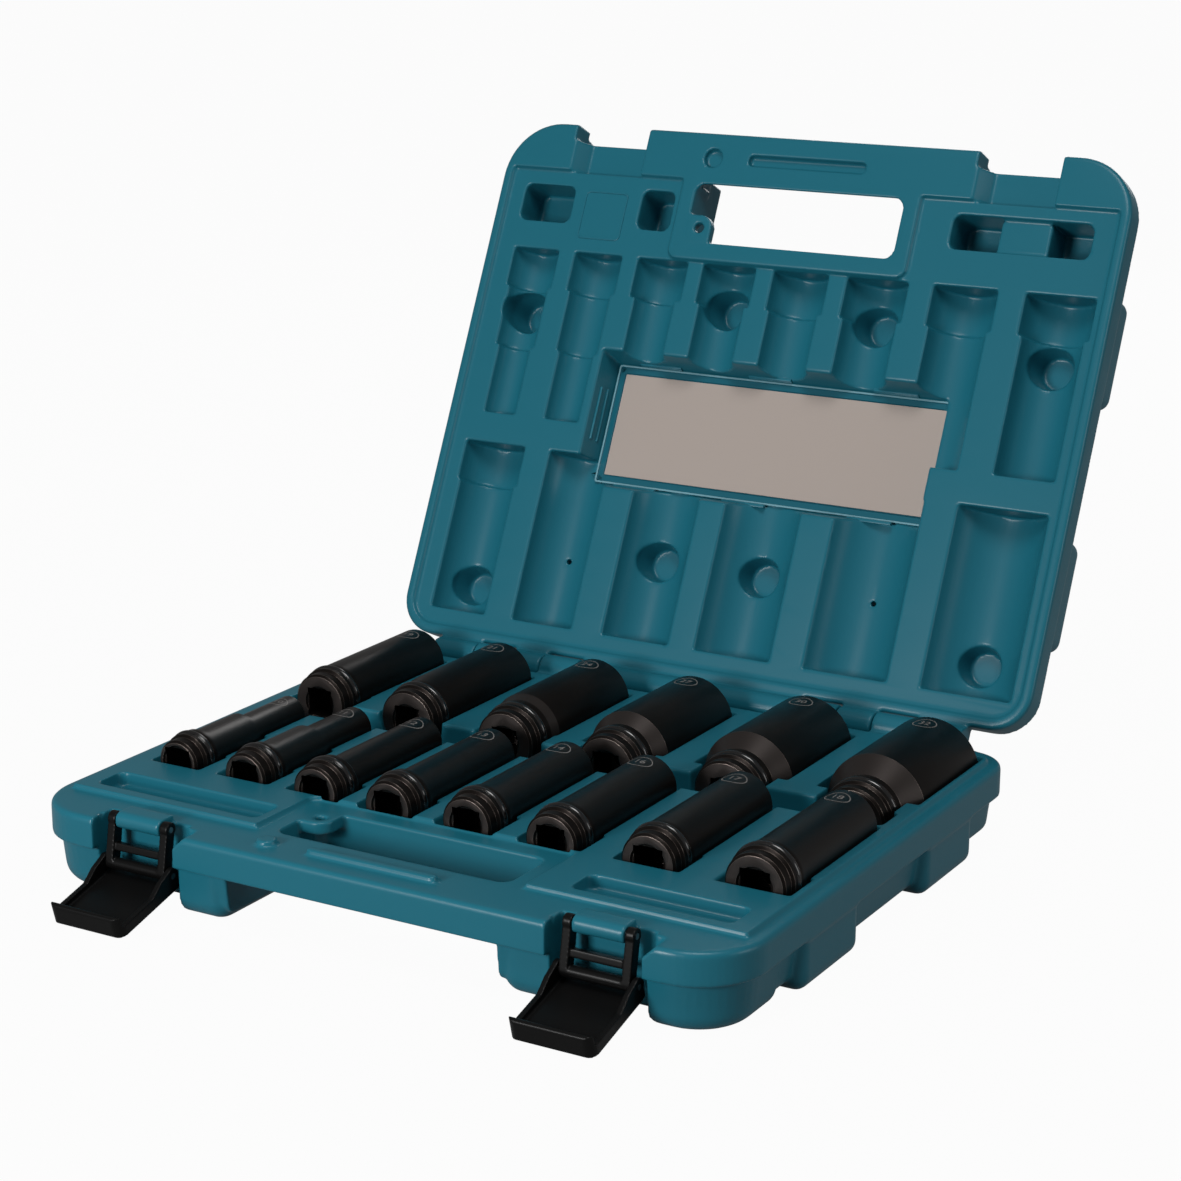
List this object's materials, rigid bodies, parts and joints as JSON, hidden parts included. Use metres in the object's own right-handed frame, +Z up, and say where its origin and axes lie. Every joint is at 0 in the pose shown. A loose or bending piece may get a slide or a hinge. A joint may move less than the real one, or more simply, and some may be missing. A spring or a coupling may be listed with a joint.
{
  "type": "socket set in case",
  "caption": "Open hinged moulded case with deep impact sockets lying in nested pockets, rubber O-rings on the drive ends, a label window in the lid, over-centre latches and a handle bar.",
  "frame": {"origin": "centre of the base's footprint, on the floor", "axes": "+X along the latch edge to the right, +Y from the latches to the hinge, +Z up"},
  "size_m": [0.322, 0.4299, 0.2727],
  "materials": {
    "case_plastic": "fine satin moulded polyethylene",
    "latch_plastic": "satin black nylon",
    "socket_steel": "black phosphated steel",
    "ring_rubber": "smooth oiled rubber",
    "pin_steel": "drawn wire",
    "label_clear": "clear tinted sheet",
    "label_card": "bare printed-side blank card"
  },
  "bodies": {
    "base": {"base_shell": "case_plastic", "lock_ear_base": "case_plastic", "hinge_pin": "pin_steel", "link_pin_left": "pin_steel", "link_pin_right": "pin_steel"},
    "lid": {"lid_shell": "case_plastic", "lock_ear_lid": "case_plastic", "label_frame": "label_clear", "label_panel": "label_card"},
    "link_left": {"latch_link_left": "latch_plastic"},
    "plate_left": {"latch_plate_left": "latch_plastic", "plate_pin_left": "pin_steel"},
    "link_right": {"latch_link_right": "latch_plastic"},
    "plate_right": {"latch_plate_right": "latch_plastic", "plate_pin_right": "pin_steel"},
    "socket_10": {"socket_10": "socket_steel", "oring_10": "ring_rubber"},
    "socket_11": {"socket_11": "socket_steel", "oring_11": "ring_rubber"},
    "socket_12": {"socket_12": "socket_steel", "oring_12": "ring_rubber"},
    "socket_13": {"socket_13": "socket_steel", "oring_13": "ring_rubber"},
    "socket_14": {"socket_14": "socket_steel", "oring_14": "ring_rubber"},
    "socket_16": {"socket_16": "socket_steel", "oring_16": "ring_rubber"},
    "socket_17": {"socket_17": "socket_steel", "oring_17": "ring_rubber"},
    "socket_18": {"socket_18": "socket_steel", "oring_18": "ring_rubber"},
    "socket_19": {"socket_19": "socket_steel", "oring_19": "ring_rubber"},
    "socket_21": {"socket_21": "socket_steel", "oring_21": "ring_rubber"},
    "socket_24": {"socket_24": "socket_steel", "oring_24": "ring_rubber"},
    "socket_27": {"socket_27": "socket_steel", "oring_27": "ring_rubber"},
    "socket_30": {"socket_30": "socket_steel", "oring_30": "ring_rubber"},
    "socket_32": {"socket_32": "socket_steel", "oring_32": "ring_rubber"}
  },
  "joints": [
    {"name": "lid_hinge", "type": "hinge", "parent": "base", "child": "lid", "pos_m": [0, 0.136, 0.034], "axis": [-1, 0, 0], "range_deg": [-115.3, 0]},
    {"name": "link_pivot_left", "type": "hinge", "parent": "base", "child": "link_left", "pos_m": [-0.105, -0.1224, 0.0335], "axis": [-1, 0, 0], "range_deg": [-10, 95]},
    {"name": "plate_pivot_left", "type": "hinge", "parent": "link_left", "child": "plate_left", "pos_m": [-0.105, -0.12553, 0.01577], "axis": [1, 0, 0], "range_deg": [-115.2, 35]},
    {"name": "link_pivot_right", "type": "hinge", "parent": "base", "child": "link_right", "pos_m": [0.105, -0.1224, 0.0335], "axis": [-1, 0, 0], "range_deg": [-10, 95]},
    {"name": "plate_pivot_right", "type": "hinge", "parent": "link_right", "child": "plate_right", "pos_m": [0.105, -0.12553, 0.01577], "axis": [1, 0, 0], "range_deg": [-115.2, 35]},
    {"name": "lift_10", "type": "slide", "parent": "base", "child": "socket_10", "axis": [0, 0, 1], "range_m": [0, 0.07]},
    {"name": "lift_11", "type": "slide", "parent": "base", "child": "socket_11", "axis": [0, 0, 1], "range_m": [0, 0.07]},
    {"name": "lift_12", "type": "slide", "parent": "base", "child": "socket_12", "axis": [0, 0, 1], "range_m": [0, 0.07]},
    {"name": "lift_13", "type": "slide", "parent": "base", "child": "socket_13", "axis": [0, 0, 1], "range_m": [0, 0.07]},
    {"name": "lift_14", "type": "slide", "parent": "base", "child": "socket_14", "axis": [0, 0, 1], "range_m": [0, 0.07]},
    {"name": "lift_16", "type": "slide", "parent": "base", "child": "socket_16", "axis": [0, 0, 1], "range_m": [0, 0.07]},
    {"name": "lift_17", "type": "slide", "parent": "base", "child": "socket_17", "axis": [0, 0, 1], "range_m": [0, 0.07]},
    {"name": "lift_18", "type": "slide", "parent": "base", "child": "socket_18", "axis": [0, 0, 1], "range_m": [0, 0.07]},
    {"name": "lift_19", "type": "slide", "parent": "base", "child": "socket_19", "axis": [0, 0, 1], "range_m": [0, 0.07]},
    {"name": "lift_21", "type": "slide", "parent": "base", "child": "socket_21", "axis": [0, 0, 1], "range_m": [0, 0.07]},
    {"name": "lift_24", "type": "slide", "parent": "base", "child": "socket_24", "axis": [0, 0, 1], "range_m": [0, 0.07]},
    {"name": "lift_27", "type": "slide", "parent": "base", "child": "socket_27", "axis": [0, 0, 1], "range_m": [0, 0.07]},
    {"name": "lift_30", "type": "slide", "parent": "base", "child": "socket_30", "axis": [0, 0, 1], "range_m": [0, 0.07]},
    {"name": "lift_32", "type": "slide", "parent": "base", "child": "socket_32", "axis": [0, 0, 1], "range_m": [0, 0.07]}
  ]
}
